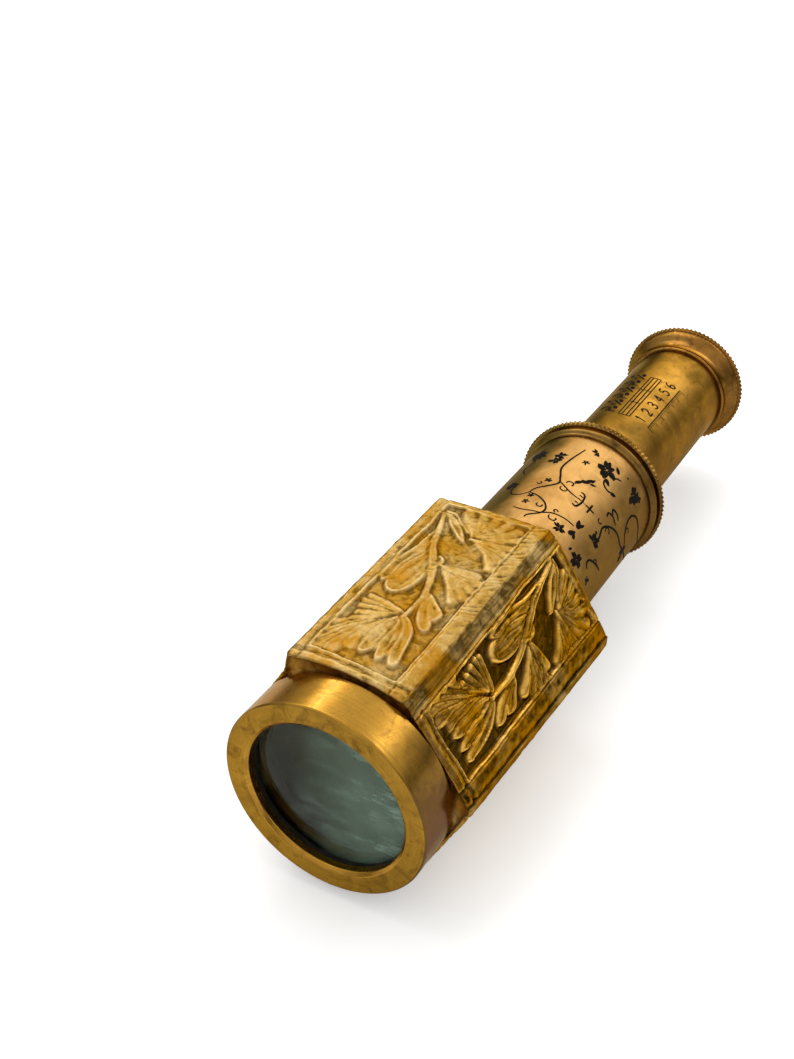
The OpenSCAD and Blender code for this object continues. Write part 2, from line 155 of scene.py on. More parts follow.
def lathe(name, profile, body, node, turns=256, teeth=None, sharp=50):
    """A turned piece from a closed profile of (radius, station). teeth is (count, depth, first station, last
    station, least radius): points between the stations and past the radius are cut into teeth."""
    prof = np.asarray(profile, float)
    angle = np.arange(turns) * 2 * math.pi / turns
    r = np.repeat(prof[:, :1], turns, axis=1)
    if teeth:
        count, depth, low, high, least = teeth
        wave = np.abs(np.sin(angle * count / 2)) ** 1.6
        cut = (prof[:, 1] >= low - 1e-6) & (prof[:, 1] <= high + 1e-6) & (prof[:, 0] >= least)
        reach = np.clip((prof[:, 0] - least) / depth, 0, 1)
        r[cut] -= depth * reach[cut][:, None] * (1 - wave)[None, :]
    verts = np.stack([np.repeat(prof[:, 1:], turns, axis=1), -r * np.sin(angle), r * np.cos(angle)], axis=-1)
    return new_object(name, verts.reshape(-1, 3), grid_faces(len(prof), turns), body, node, sharp)


def smooth_line(points, steps=6):
    """A smooth line through points."""
    p = np.array(points, float)
    p = np.vstack([2 * p[0] - p[1], p, 2 * p[-1] - p[-2]])
    out = []
    for i in range(1, len(p) - 2):
        for k in range(steps):
            t = k / steps
            out.append(0.5 * (2 * p[i] + (p[i + 1] - p[i - 1]) * t
                              + (2 * p[i - 1] - 5 * p[i] + 4 * p[i + 1] - p[i + 2]) * t * t
                              + (3 * p[i] - p[i - 1] - 3 * p[i + 1] + p[i + 2]) * t ** 3))
    out.append(p[-2])
    return np.array(out)


# ------ relief of one panel

# Places in the foliage are in units of 1/22 mm, back from the sleeve's front and down from a face's upper edge
PER_MM = 22
ORIGIN = 8.6, 10.35
# Depth of the thin groove round each raised shape
GROOVE = 0.32


def nearest(S, V, line, values):
    """Distance from each grid point to a line, and the values of the line's points at the nearest place."""
    best = np.full(S.shape, 1e9)
    found = [np.zeros(S.shape) for _ in values]
    for i in range(len(line) - 1):
        (ax, ay), (bx, by) = line[i], line[i + 1]
        dx, dy = bx - ax, by - ay
        t = np.clip(((S - ax) * dx + (V - ay) * dy) / (dx * dx + dy * dy + 1e-9), 0, 1)
        d = np.hypot(S - ax - t * dx, V - ay - t * dy)
        near = d < best
        best[near] = d[near]
        for f, v in zip(found, values):
            f[near] = (v[i] + (v[i + 1] - v[i]) * t)[near]
    return best, found


def ridge(S, V, line, width, height, flat=0.5):
    """A rounded ridge along a line. Width and height are given at its start, middle and end."""
    at = np.linspace(0, 1, len(line))
    d, (wd, hd) = nearest(S, V, line, [np.interp(at, [0, 0.5, 1], x) for x in (width, height)])
    x = np.clip(2 * d / wd, 0, 1)
    return hd * (1 - x ** 2) ** flat * (x < 1)


def leaf_shape(S, V, outline, rim, middle, height):
    """A leaf with a raised rim round a lower middle, which swells up over half a millimetre."""
    line = np.vstack([outline, outline[:1]])
    d, _ = nearest(S, V, line, [])
    inside = np.zeros(S.shape, bool)
    for (ax, ay), (bx, by) in zip(line[:-1], line[1:]):
        if ay != by:
            inside ^= ((ay > V) != (by > V)) & (S < (bx - ax) * (V - ay) / (by - ay) + ax)
    body = np.where(inside, middle * np.clip(d / 0.5, 0, 1) ** 0.5, 0)
    x = np.clip(d / rim, 0, 1)
    return np.maximum(body, height * (1 - x ** 2) ** 0.6 * (x < 1))


def bend(foot, tip, bow):
    """A bowed line from foot to tip. bow is the share of its length that the middle moves sideways."""
    a, b = np.array(foot, float), np.array(tip, float)
    d = b - a
    mid = (a + b) / 2 + np.array([-d[1], d[0]]) * bow
    t = np.linspace(0, 1, 9)[:, None]
    return (1 - t) ** 2 * a + 2 * t * (1 - t) * mid + t * t * b


def at_mm(*points):
    """Places on a broad face in millimetres, from the foliage's units."""
    return [(ORIGIN[0] + x / PER_MM, ORIGIN[1] - y / PER_MM) for x, y in points]


def foliage(S, V):
    """Height of the cast foliage over the panel's ground, in millimetres."""
    h = np.zeros(S.shape)

    def raise_to(values):
        """Puts a shape on top of what is there, with a thin groove round it."""
        nonlocal h
        on = values > 0.03
        near = on.copy()
        for axis in (0, 1):
            near |= np.roll(on, 1, axis) | np.roll(on, -1, axis)
        h = np.maximum(h - GROOVE * (near & ~on), values)

    def fan(foot, tips, bows, crest):
        """Broad ribs side by side from one foot, each as wide at its end as the room it has."""
        ends = np.array(at_mm(*tips))
        foot = at_mm(foot)[0]
        room = np.linalg.norm(np.diff(ends, axis=0), axis=1)
        room = np.concatenate([room[:1], (room[1:] + room[:-1]) / 2, room[-1:]])
        for end, bow, wide in zip(ends, bows, np.minimum(room, 2.6)):
            line = bend(foot, end, bow)
            raise_to(ridge(S, V, line, (0.6, wide, wide * 1.12), (0.7, crest, crest - 0.08)))

    def petal(outline, ribs, rim=0.5):
        """A leaf that swells between shallow grooves along its ribs."""
        nonlocal h
        edge = smooth_line(at_mm(*outline, outline[0]), 3)[:-1]
        raise_to(leaf_shape(S, V, edge, rim, 0.6, 0.74))
        for rib in ribs:
            h = h - ridge(S, V, smooth_line(at_mm(*rib), 4), (0.3, 0.6, 0.3), (0.1, 0.24, 0.1), 0.8)

    def line(points, width, height):
        raise_to(ridge(S, V, smooth_line(at_mm(*points), 4), width, height, 0.4))

    # Flower at the front: a fan to the corner, a fan to the side and a tulip along the axis
    fan((348, 238), [(222, 64), (174, 74), (122, 72), (62, 72), (92, 128), (136, 182)],
        (0.04, 0.03, 0.02, 0.0, -0.06, -0.14), 0.78)
    fan((372, 236), [(268, 104), (304, 98), (342, 88), (376, 80), (403, 90)],
        (0.05, 0.03, 0.0, -0.02, -0.05), 0.78)
    petal([(348, 244), (290, 216), (205, 204), (120, 212), (134, 238), (190, 252), (270, 258)],
          [[(300, 236), (220, 226), (140, 222)]])
    petal([(348, 250), (270, 256), (190, 254), (112, 286), (180, 304), (250, 296), (315, 274)],
          [[(310, 264), (230, 272), (140, 284)]])
    petal([(350, 254), (322, 290), (280, 318), (215, 336), (128, 352), (122, 330), (180, 308), (250, 298),
           (315, 276)], [[(300, 292), (220, 316), (145, 336)]])
    line([(360, 248), (338, 284), (290, 318), (220, 338), (150, 350)], (0.7, 0.6, 0.4), (0.9, 0.85, 0.6))
    # Two-pronged leaf under the joint
    petal([(508, 258), (440, 270), (380, 290), (338, 318), (328, 346), (362, 346), (400, 322), (392, 348),
           (432, 354), (462, 318), (490, 286)],
          [[(470, 280), (410, 304), (350, 334)], [(480, 288), (448, 318), (414, 344)]])
    # Leaf over the main stem, and the longer one between it and the border
    petal([(770, 132), (700, 128), (650, 110), (590, 97), (510, 98), (468, 114), (460, 144), (476, 168),
           (515, 184), (575, 192), (645, 188), (705, 168)],
          [[(735, 140), (660, 136), (580, 118), (500, 124)], [(735, 148), (650, 160), (570, 160), (490, 148)]])
    petal([(900, 86), (820, 88), (740, 84), (670, 66), (600, 57), (530, 60), (504, 76), (540, 88), (600, 84),
           (665, 98), (730, 118), (800, 110)], [[(850, 94), (760, 100), (680, 84), (600, 70), (530, 72)]], 0.36)
    # Ribbed fan under the main stem
    fan((672, 210), [(516, 350), (558, 372), (606, 380), (654, 382), (690, 350)],
        (0.14, 0.14, 0.12, 0.08, -0.06), 0.84)
    # Main stem, with a groove along its crest
    stem = smooth_line(at_mm(
        (352, 246), (420, 252), (500, 248), (580, 226), (660, 194), (730, 158), (800, 124), (880, 98),
        (985, 68)), 4)
    raise_to(ridge(S, V, stem, (0.95, 1.8, 1.2), (0.84, 0.9, 0.82), 0.42))
    h = h - ridge(S, V, stem, (0.2, 0.4, 0.24), (0.0, 0.2, 0.08), 1.0)
    line([(640, 200), (672, 208), (704, 206), (724, 186)], (0.6, 1.2, 0.6), (0.6, 0.8, 0.7))
    # Drop from the rear of the stem
    ends = at_mm((990, 84), (846, 214))
    drop = np.vstack([bend(*ends, 0.17), bend(*ends[::-1], 0.13)])
    raise_to(leaf_shape(S, V, drop, 0.45, 0.5, 0.8))
    # Flower at the rear: a fan down, and a fan round to the end
    fan((880, 226), [(756, 374), (806, 386), (852, 388), (898, 384)], (0.2, 0.16, 0.08, -0.02), 0.82)
    fan((900, 226), [(956, 386), (1004, 360), (1030, 312), (1042, 258), (1042, 204), (1024, 152)],
        (-0.08, -0.1, -0.1, -0.08, -0.06, 0.04), 0.8)
    line([(1005, 66), (1000, 110), (960, 150), (915, 200)], (0.5, 0.6, 0.6), (0.6, 0.74, 0.8))
    return np.clip(eased(eased(h), 1), 0, None)


# ------ embossed sleeve

# Stations of its ends, how far each is rounded off, and the radius of its bore
SLEEVE_FROM, SLEEVE_TO = 8.52, 57.52
NOSE = 0.5
BODY_R = 16.42
# Corners of the cast hexagon at its front and rear end as (y, z) from the axis: from the top face's far corner
# over the near side to the bottom. A strip lies between each face and the next
TURN = [((10.9, 19), (10.6, 19.95)), ((-9.7, 17.3), (-10.5, 19.5)), ((-11.9, 14.9), (-12.3, 17.8)),
        ((-21.2, 0.7), (-22.5, 0.8)), ((-20.9, -1.1), (-22.3, -1.2)), ((-12, -16.6), (-12.5, -17.7)),
        ((-9.2, -20.15), (-9.4, -20.15))]
TURN += [((-f[0], f[1]), (-r[0], r[1])) for f, r in TURN[:1:-1]]
# Half width of a broad and a narrow face, and the edges of the sunk panel across it, low and high
HALF = 10.35, 8.73
PANEL = (-7.7, 8.15), (-5.4, 8.15)
PANEL_FROM, PANEL_TO = 11.1, 56.2
# Depth of a panel, and the share of it on the worn broad faces. How wide its walls are, and how far the foliage
# laps over its border
GROUND = 0.9
BROAD_SHARE = 0.74
WALL, LAP = 0.6, 0.5
# Distance between the points of the sleeve's grid
STEP = 0.19


def step_up(x, width):
    """0 below zero, 1 past the width, smooth between."""
    t = np.clip(x / width, 0, 1)
    return t * t * (3 - 2 * t)


def within(x, low, high, width, out=0):
    """1 between two limits, each moved out by a length, 0 outside them, and smooth over a width inside."""
    return step_up(x - low + out, width) * step_up(high + out - x, width)


def bump_at(x, middle, half):
    """1 at the middle, 0 past half a width to either side."""
    return np.clip(1 - ((x - middle) / half) ** 2, 0, 1)


def face_height(k, S, V, noise):
    """How deep face k lies under its own plane, in millimetres. Even faces are broad, odd ones narrow."""
    narrow = k % 2
    low, high = PANEL[narrow]
    place = np.stack([S + 60 * k, V + 7.3 * k, np.full(S.shape, 3.1 * k)], axis=-1)
    # Cast lines are never quite straight
    s = S + 0.24 * noise(place, 5) + 0.07 * noise(place + 50, 1.6)
    v = V + 0.22 * noise(place + 31, 5) + 0.07 * noise(place + 80, 1.6)
    squeeze = (high - low) / (PANEL[0][1] - PANEL[0][0])
    rel = foliage(s, (v - low) / squeeze + PANEL[0][0])
    if not narrow:
        # Worn crests
        rel = np.minimum(rel, 0.7 + 0.3 * (rel - 0.7))
    rel *= (1.08 if narrow else 1) + 0.1 * noise(place + 17, 2.4)
    depth = 1 if narrow else BROAD_SHARE
    inside = within(s, PANEL_FROM, PANEL_TO, WALL) * within(v, low, high, WALL)
    rel *= within(s, PANEL_FROM, PANEL_TO, LAP, LAP) * within(v, low, high, LAP, LAP) * depth
    ground = GROUND * depth * inside * (1 + 0.1 * noise(place + 3, 3))
    border = 1 - inside
    # Front and rear: a cast line, and a groove inside it
    marks = 0.12 * border * (0.5 + 0.5 * noise(place + 9, 1.1))
    marks += 0.14 * (s < PANEL_FROM) * (1 - bump_at(s, 9.6, 0.4)) + 0.16 * bump_at(s, PANEL_FROM - 0.5, 0.3)
    if narrow:
        # A narrow face has a groove on each side of its panel, and a plain lower border, worn round at its edge
        marks += 0.3 * bump_at(v, high + 0.28, 0.22) + 0.2 * bump_at(v, low - 0.1, 0.28)
        marks += 0.5 * np.clip((-6.9 - v) / 1.8, 0, 1) ** 2
    else:
        # A broad face has a shallow gutter along one side, and uneven diagonal hammer marks on the other
        marks += 0.16 * bump_at(v, high + 0.7, 0.6) + 0.2 * bump_at(v, low - 0.1, 0.22)
        ticks = np.clip(np.sin(5 * s + 3 * v + 5 * noise(place * [1, 0.7, 1], 3.2)), -0.2, 1)
        amount = step_up(s - 22, 9) * (v < low) + 0.6 * step_up(s - PANEL_TO, 0.6)
        marks += 0.13 * ticks * amount * border * (0.6 + 0.6 * noise(place + 44, 2.3))
    fine, coarse = (0.035, 0.06) if narrow else (0.07, 0.1)
    grain = fine * noise(place, 0.55) + coarse * noise(place + 5, 1.3) + 0.08 * noise(place, 4)
    bare = inside * (rel < 0.15)
    return (np.clip(ground - rel, 0, None) + np.clip(marks, 0, None) + np.abs(grain) * (0.7 + 0.7 * bare)
            + 0.05 * (0.5 + 0.5 * noise(place + 70, 9)))


def sleeve():
    """The cast sleeve: a closed grid of stations round the twelve flats, sunk by its relief."""
    noise = Noise(11)
    face, across, front, rear = [], [], [], []
    for n, (a, b) in enumerate(zip(TURN, TURN[1:] + TURN[:1])):
        a, b = np.array(a), np.array(b)
        count = int(round(np.linalg.norm(b - a, axis=1).mean() / STEP))
        for x in np.linspace(0, 1, count, endpoint=False):
            p = a + (b - a) * x
            if n == 0:
                # The top face is a little crowned, most at its front
                swell = 1 - (2 * x - 1) ** 2
                p = p + [[0, 1.25 * swell], [0, 0.2 * swell]]
            front.append(p[0])
            rear.append(p[1])
            # Strips are kept as faces 10 and up; across runs from 0 at the broad face to 1 on them
            k = n // 2
            face.append(k if n % 2 == 0 else 10 + k)
            across.append(HALF[k % 2] * (1 - 2 * x) if n % 2 == 0 else (x if k % 2 == 0 else 1 - x))
    face, across, front, rear = np.array(face), np.array(across), np.array(front), np.array(rear)
    for _ in range(3):
        front, rear = eased(front), eased(rear)
    middle = (front + rear) / 2
    run = np.roll(middle, -2, 0) - np.roll(middle, 2, 0)
    normal = np.column_stack([run[:, 1], -run[:, 0]])
    normal /= np.linalg.norm(normal, axis=1)[:, None]
    normal *= np.sign((normal * middle).sum(1))[:, None]

    rows = int(round((SLEEVE_TO - SLEEVE_FROM) / STEP)) + 1
    stations = np.linspace(SLEEVE_FROM, SLEEVE_TO, rows)
    cols = len(face)
    sink = np.zeros((rows, cols))
    for k in range(6):
        pick = face == k
        S, V = np.meshgrid(stations, across[pick], indexing="ij")
        sink[:, pick] = face_height(k, S, V, noise)
        pick = face == 10 + k
        S, U = np.meshgrid(stations, across[pick], indexing="ij")
        place = np.stack([S, U * 3.5, np.full(S.shape, 20 + 9 * k)], axis=-1)
        # A cast line where the strip meets the narrow face's border
        U = U + 0.03 * noise(place * [0.4, 0, 1], 1.5)
        line = np.exp(-((U - 0.8) / 0.06) ** 2)
        scrape = noise(place * [0.25, 3, 1], 0.5)
        sink[:, pick] = 0.42 * line + 0.08 * (0.5 + 0.5 * scrape) + 0.1 * (0.5 + 0.5 * noise(place, 1.3))

    # The edge at each end is rounded a little, then the end wall runs down to the bore
    share = ((stations - SLEEVE_FROM) / (SLEEVE_TO - SLEEVE_FROM))[:, None, None]
    base = front[None] * (1 - share) + rear[None] * share
    edge = np.minimum(stations - SLEEVE_FROM, SLEEVE_TO - stations)
    fall = 0.3 * (1 - np.sqrt(np.clip(edge / NOSE, 0, 1)))
    outer = base - normal[None] * (sink + fall[:, None])[..., None]
    wall = np.linspace(0, 1, 13)[1:]
    ends = []
    for first in (True, False):
        contour = outer[0] if first else outer[-1]
        bore = contour / np.linalg.norm(contour, axis=1)[:, None] * BODY_R
        lines = [contour * (1 - w) + bore * w for w in wall]
        s_end = SLEEVE_FROM if first else SLEEVE_TO
        dip = []
        for w, c in zip(wall, lines):
            place = np.column_stack([np.full(cols, 60 if first else 90), c])
            rough = 0.10 * (0.5 + 0.5 * noise(place, 0.8)) + 0.12 * (0.5 + 0.5 * noise(place, 2.6))
            hollow = 0.22 * math.sin(math.pi * min(1, w * 1.15)) * (w < 0.87)
            dip.append((rough * (w < 0.9) + hollow) * (1 if w < 1 else 0))
        ends.append([np.column_stack([s_end + (x if first else -x), c]) for x, c in zip(dip, lines)])
    sides = [np.column_stack([np.full(cols, s), o]) for s, o in zip(stations, outer)]
    grid = np.array(ends[0][::-1] + sides + ends[1])
    total = len(grid)
    obj = new_object("cast_sleeve", grid.reshape(-1, 3), grid_faces(total, cols), "barrel",
                     "embossed_sleeve")

    # Values for the patina and painted shade: how high a point stands, how far it stands out of its surroundings,
    #     and how glossy the face is, which also picks the darker, shaded colours of the narrow faces
    def blurred(a, size):
        kernel = np.exp(-np.linspace(-2, 2, 2 * size + 1) ** 2)
        kernel /= kernel.sum()
        out = sum(w * np.roll(a, n - size, 1) for n, w in enumerate(kernel))
        pad = np.pad(out, ((size, size), (0, 0)), mode="edge")
        return sum(w * pad[n:n + a.shape[0]] for n, w in enumerate(kernel))

    stand = 0.5 + 0.9 * (blurred(sink, 8) - sink) + 0.8 * (blurred(sink, 2) - sink)
    # Painted shade: the strips between the faces are darker; the lower border of each narrow face is made darker
    # as well
    stand[:, face >= 10] -= 0.16
    stand[:, (face % 2 == 1) & (face < 10) & (across < PANEL[1][0])] -= 0.12
    lead = len(wall)
    # Narrow faces are glossy and take darker colours as painted shade, broad ones are rubbed matt
    gloss_and_shade = np.broadcast_to(np.where(face >= 10, 0.4, face % 2), sink.shape)
    for name, values, rest in (("height", 1 - sink, 0.8), ("stand", stand, 0.5), ("gloss_and_shade", gloss_and_shade, 0.25)):
        full = np.full((total, cols), rest)
        full[lead:lead + rows] = values
        attr = obj.data.attributes.new(name, "FLOAT", "POINT")
        attr.data.foreach_set("value", full.ravel().astype(np.float32))
    return obj


# ------ turned pieces

# Radii of the ring and its lip, the body tube's bore, and the two draw tubes with their bores
RING_R, LIP_R = 18, 13.95
BODY_BORE = 15.38
MIDDLE_R, MIDDLE_BORE = 13.5, 12.9
EYE_R, EYE_BORE = 10.55, 10.05
# Stations of the ring's back and its seat for the glass, the bush's shoulder, and the ends of other pieces
RING_TO, SEAT = 8.5, 2.6
SHOULDER, BUSH_TO = 57.54, 58.32
COLLAR_TO = 102.62
CAP_FROM, CAP_TO = 147.62, 154.92


def bezel():
    profile = softened([
        (14.55, 0, 0.12), (17.72, 0, 0.1), (RING_R, 0.28, 0.1), (RING_R, 8.1, 0.12), (17.6, RING_TO, 0.15),
        (BODY_R, RING_TO, 0.02), (BODY_R, 2.62, 0.02), (LIP_R, SEAT, 0.05), (LIP_R, 1.75, 0),
        (LIP_R, 0.55, 0.15)], 0.1)
    obj = lathe("turned_ring", profile, "barrel", "objective_bezel", turns=320)
    dress(obj, gold, black, shaded_face_gold)
    for face in obj.data.polygons:
        x, y, z = face.center
        station, radius = (x - FRONT_X) / MM, math.hypot(y, z - AXIS_Z) / MM
        if radius < 14.4 and 1.7 < station < 3:
            # Blackened inside of the lip
            face.material_index = 1
        elif station < 0.02:
            # Front face, in the darker copy of the brass: painted shade
            face.material_index = 2


def tube(name, bore, radius, start, stop, body, node, turns):
    profile = softened([(bore, start), (radius, start), (radius, stop), (bore, stop)], 0.08)
    return lathe(name, profile, body, node, turns)


def guide_bush():
    bore = MIDDLE_R + 0.06
    profile = softened([
        (bore, 50.22), (BODY_BORE, 50.22), (BODY_BORE, SHOULDER), (17.1, SHOULDER), (17.1, BUSH_TO, 0.25),
        (bore, BUSH_TO, 0.15)], 0.06)
    return lathe("rear_bush", profile, "barrel", "body_guide_bush")


def bead(r, s, size, start, count):
    """Points round a bead on a profile, from an angle to as far past its top."""
    return [(r + size * math.sin(a), s - size * math.cos(a), 0)
            for a in np.linspace(math.radians(start), math.radians(180 - start), count)]


def collar():
    """Front lip, rounded bead, groove and knurled edge, with the skirt inside the tube."""
    lip, seat, skirt, bore = 13.95, MIDDLE_R + 0.02, MIDDLE_BORE - 0.02, EYE_R + 0.06
    points = [(seat, 98.52, 0.02), (lip, 98.52, 0.14)] + bead(lip, 99.67, 0.75, 18, 13) + [
        (lip, 100.84, 0.05), (14.93, 100.86, 0.04), (15.35, 101.07, 0.05), (15.35, 101.9, 0.05),
        (14.93, 102.12, 0.05), (14.78, 102.2, 0.05), (14.7, COLLAR_TO, 0.16), (bore, COLLAR_TO, 0.12),
        (bore, 91.52, 0.1), (skirt, 91.52, 0.1), (skirt, 101.52, 0.02), (seat, 101.52, 0.02)]
    knurls = 96
    return lathe("knurled_collar", softened(points, 0.1, 2), "middle_draw", "middle_collar",
                 turns=knurls * 9, teeth=(knurls, 0.32, 100.86, 102.16, 14.96))


def cap():
    """Neck rim, trumpet flare, knurled edge, end face and the dish round the eye hole."""
    seat, neck, eye_hole, dish_s = EYE_R + 0.02, 11.1, 5.2, 153.42
    flare = smooth_line([
        (neck, 148.9), (11.12, 149.7), (11.3, 150.55), (11.8, 151.25), (12.45, 151.82), (12.9, 152.4),
        (13.06, 153.08)], 4)
    points = [(seat, CAP_FROM, 0.02), (neck, CAP_FROM, 0.1)] + bead(neck, 148, 0.28, 25, 7)
    points += [(r, s, 0) for r, s in flare] + [
        (13.2, 153.12, 0.02), (13.6, 153.33, 0.04), (13.6, 154.1, 0.04), (13.2, 154.3, 0.04),
        (13.08, 154.36, 0.03), (13.05, 154.6, 0.1), (12.73, CAP_TO, 0.15), (10.2, CAP_TO, 0.18),
        (6.2, dish_s, 0.25), (eye_hole, dish_s, 0.12), (eye_hole, 150.46, 0.1), (seat, 150.46, 0.02)]
    knurls = 84
    return lathe("flared_cap", softened(points, 0.1, 2), "eyepiece_draw", "eyepiece_cap",
                 turns=knurls * 9, teeth=(knurls, 0.32, 153.12, 154.33, 13.22))


def front_lens():
    """The crown glass with its bulging front and rear faces."""
    def sag(c, r):
        """How far a face of radius c falls back at radius r."""
        return c - math.sqrt(c * c - r * r)

    edge, front, rear = BODY_BORE, 110, 60
    # The front face touches the seat at the lip, and the two faces are 1.3 mm apart at the edge
    front_s = SEAT + sag(front, edge) - sag(front, LIP_R)
    rear_s = front_s + 1.3
    radii = np.linspace(0.02, edge, 40)
    points = [(r, front_s - sag(front, edge) + sag(front, r)) for r in radii]
    points += [(r, rear_s + sag(rear, edge) - sag(rear, r)) for r in radii[::-1]]
    return lathe("front_glass", points, "barrel", "objective_crown_lens", turns=192, sharp=30)


# ------ engraving

def polar(x, y, r, angle):
    """The place at a distance and an angle from another."""
    a = math.radians(angle)
    return x + r * math.cos(a), y + r * math.sin(a)


class Inlay:
    """Black-filled engraving, collected as flat shapes on a cylinder and made into one mesh. Places are
    millimetres: x along the axis, y round the tube. A shape that reaches under the lowest station is left out."""

    # Where y starts: on the far side of the top
    START = math.radians(-45)

    def __init__(self, radius, station, lowest=0.0):
        self.radius, self.station, self.lowest = radius, station, lowest
        self.verts, self.faces = [], []
        self.way, self.shift_x, self.shift_y = 1, 0.0, 0.0

    def fits(self, points):
        return min(self.station + self.shift_x + self.way * x for x, y in points) >= self.lowest

    def put(self, points):
        """Adds points and gives back the number of the first."""
        start = len(self.verts)
        for x, y in points:
            a = self.START + (y + self.shift_y) / self.radius
            s = self.station + self.shift_x + self.way * x
            self.verts.append((s, -self.radius * math.sin(a), self.radius * math.cos(a)))
        return start

    def stroke(self, points, width, ends, steps=6):
        """A line through the points, thinner towards its ends."""
        line = smooth_line(points, steps)
        if not self.fits(line):
            return
        d = np.gradient(line, axis=0)
        d /= np.maximum(np.linalg.norm(d, axis=1), 1e-9)[:, None]
        side = np.column_stack([-d[:, 1], d[:, 0]])
        t = np.linspace(0, 1, len(line))
        w = width / 2 * (ends + (1 - ends) * np.clip(np.sin(np.pi * t) * 1.8, 0, 1))
        start = self.put(np.vstack([line + side * w[:, None], line - side * w[:, None]]))
        n = len(line)
        self.faces += [(start + i, start + i + 1, start + n + i + 1, start + n + i) for i in range(n - 1)]

    def blob(self, x, y, length, width, angle):
        """A petal or leaf with its middle at x, y."""
        a, around = math.radians(angle), 12
        pts = [(x, y)]
        for t in np.linspace(0, 2 * math.pi, around, endpoint=False):
            u, v = 0.5 * length * math.cos(t), 0.5 * width * math.sin(t) * (1 - 0.35 * math.cos(t))
            pts.append((x + u * math.cos(a) - v * math.sin(a), y + u * math.sin(a) + v * math.cos(a)))
        if self.fits(pts):
            start = self.put(pts)
            self.faces += [(start, start + 1 + i, start + 1 + (i + 1) % around) for i in range(around)]

    def flower(self, x, y, size, petals, gap=None):
        """Uneven petals round a middle. gap is an angle at which petals are left out."""
        for i in range(petals):
            angle = 360 * i / petals + 17 * size + 11 * math.sin(3 * i + y)
            if gap is not None and math.cos(math.radians(angle - gap)) > 0.55:
                continue
            long = size * (0.82 + 0.16 * math.sin(5 * i + x))
            wide = size * (0.52 + 0.07 * math.sin(7 * i + x))
            self.blob(*polar(x, y, size * 0.22 + long / 2, angle), long, wide, angle)
        for i in range(4):
            self.blob(*polar(x, y, 0.2 * size, 90 * i + 30 * size), size * 0.3, size * 0.24, 90 * i)

    def curl(self, x, y, size, start, sweep, width=0.3):
        """An open hook that ends in a dot."""
        line = [polar(x, y, size * (1 - 0.35 * t), start + sweep * t) for t in np.linspace(0, 1, 7)]
        self.stroke(line, width, 0.6, 3)
        self.blob(*line[-1], 0.4 * size + 0.12, 0.35 * size + 0.12, start)

    def make(self, name, body):
        return new_object(name, self.verts, self.faces, body)


# Vine scrolls over half of the tube's way round, as a width and points
SCROLLS = (
    (0.38, (-0.6, 11.6), (0.5, 11.9), (2.2, 13.4), (3.9, 13.8), (5.6, 12.9), (6.9, 11), (7.6, 8.9)),
    (0.304, (1.7, 8.4), (1.5, 10.2), (1.9, 11.8), (2.4, 13.3)),
    (0.418, (7.6, 8.8), (9.2, 9.3), (10.9, 10.9), (13, 12.3), (15, 11.7), (18, 10.6), (21.5, 10.8),
      (26.4, 11.8)),
    (0.323, (2.3, 13.4), (3.9, 15.2), (4.7, 17.6), (4.9, 19.8)),
    (0.323, (13.7, 12.1), (12.6, 13.9), (11.9, 15.4), (11.7, 16.9)),
    (0.456, (8, 25.2), (9.4, 25), (11.6, 24.3), (13.8, 25.4), (15.4, 27.6), (15.9, 30.4), (17.9, 33.3),
      (22, 38.6)),
    (0.456, (18, 31.8), (18.4, 29.6), (20.1, 28.1), (22.4, 27.8), (24.2, 29), (24.9, 31.2), (25.6, 34.4),
      (28.6, 38)),
    (0.456, (1.6, 27.4), (2.4, 26.4), (3.7, 26.7), (5.2, 28.6), (6, 30.2)),
    (0.418, (15.8, 26.2), (16.2, 24.5), (15.6, 23.3), (14.5, 23.5)),
    (0.456, (16.2, 24.4), (17.4, 23.6), (17.8, 24.9), (17.2, 26)),
    (0.418, (20, 21.5), (19.5, 20.2), (20.2, 18.9), (21.6, 18.6)),
    (0.38, (22.9, 19.9), (24, 20.1), (24.8, 21.2)),
    (0.342, (7.6, 8.8), (6.4, 7.4), (6.6, 5.6), (8.4, 4.6), (10.6, 5)),
    (0.342, (15, 4), (17.5, 2.6), (20.6, 3.4), (23.6, 1.8), (26.2, 3.2)))
# Place, size, number of petals, and the angle of a gap if there is one
FLOWERS = (
    (-0.2, 24.3, 1.75, 8), (7.1, 24.6, 1.75, 9, 190), (20.3, 8.2, 1.35, 7), (22.4, 8.4, 1.3, 7),
    (24, 17.7, 2.3, 9), (25.4, 24.9, 2.1, 9, 220), (26.6, 26.2, 1.2, 6), (1.6, 18, 1.3, 7),
    (26.9, 14.2, 1.2, 6, 20), (23.2, 3.2, 2, 9), (10.4, 3.6, 1.5, 7), (17, 33, 1.7, 8, 40),
    (4.4, 9.6, 0.8, 5), (6.6, 9.6, 0.75, 5), (12.9, 10.3, 0.8, 5), (22.5, 13.6, 0.8, 5), (0.6, 29.4, 0.9, 5, 90))
# Place, length, width and angle
LEAVES = (
    (3.2, 20.3, 1.7, 0.8, 25), (2.9, 21, 1.2, 0.5, -20), (6.2, 20.3, 1.9, 0.8, -20), (6.6, 21, 1.2, 0.5, 20),
    (16, 15.2, 1.6, 0.6, 35), (17, 16.1, 1.5, 0.7, 60), (17.9, 16.6, 1.6, 0.6, 20), (18.6, 17.2, 1.2, 0.4, 10),
    (17.6, 17.6, 1.1, 0.4, 70), (21.2, 19.3, 1.5, 0.7, 130), (20, 21.7, 1.2, 0.7, 60), (15.1, 14.8, 0.3, 0.3, 0),
    (27, 21.9, 0.4, 0.4, 0), (26.2, 19.4, 1.5, 0.6, -40), (9.1, 23.9, 0.5, 0.5, 0), (0, 22, 0.9, 0.4, 20))
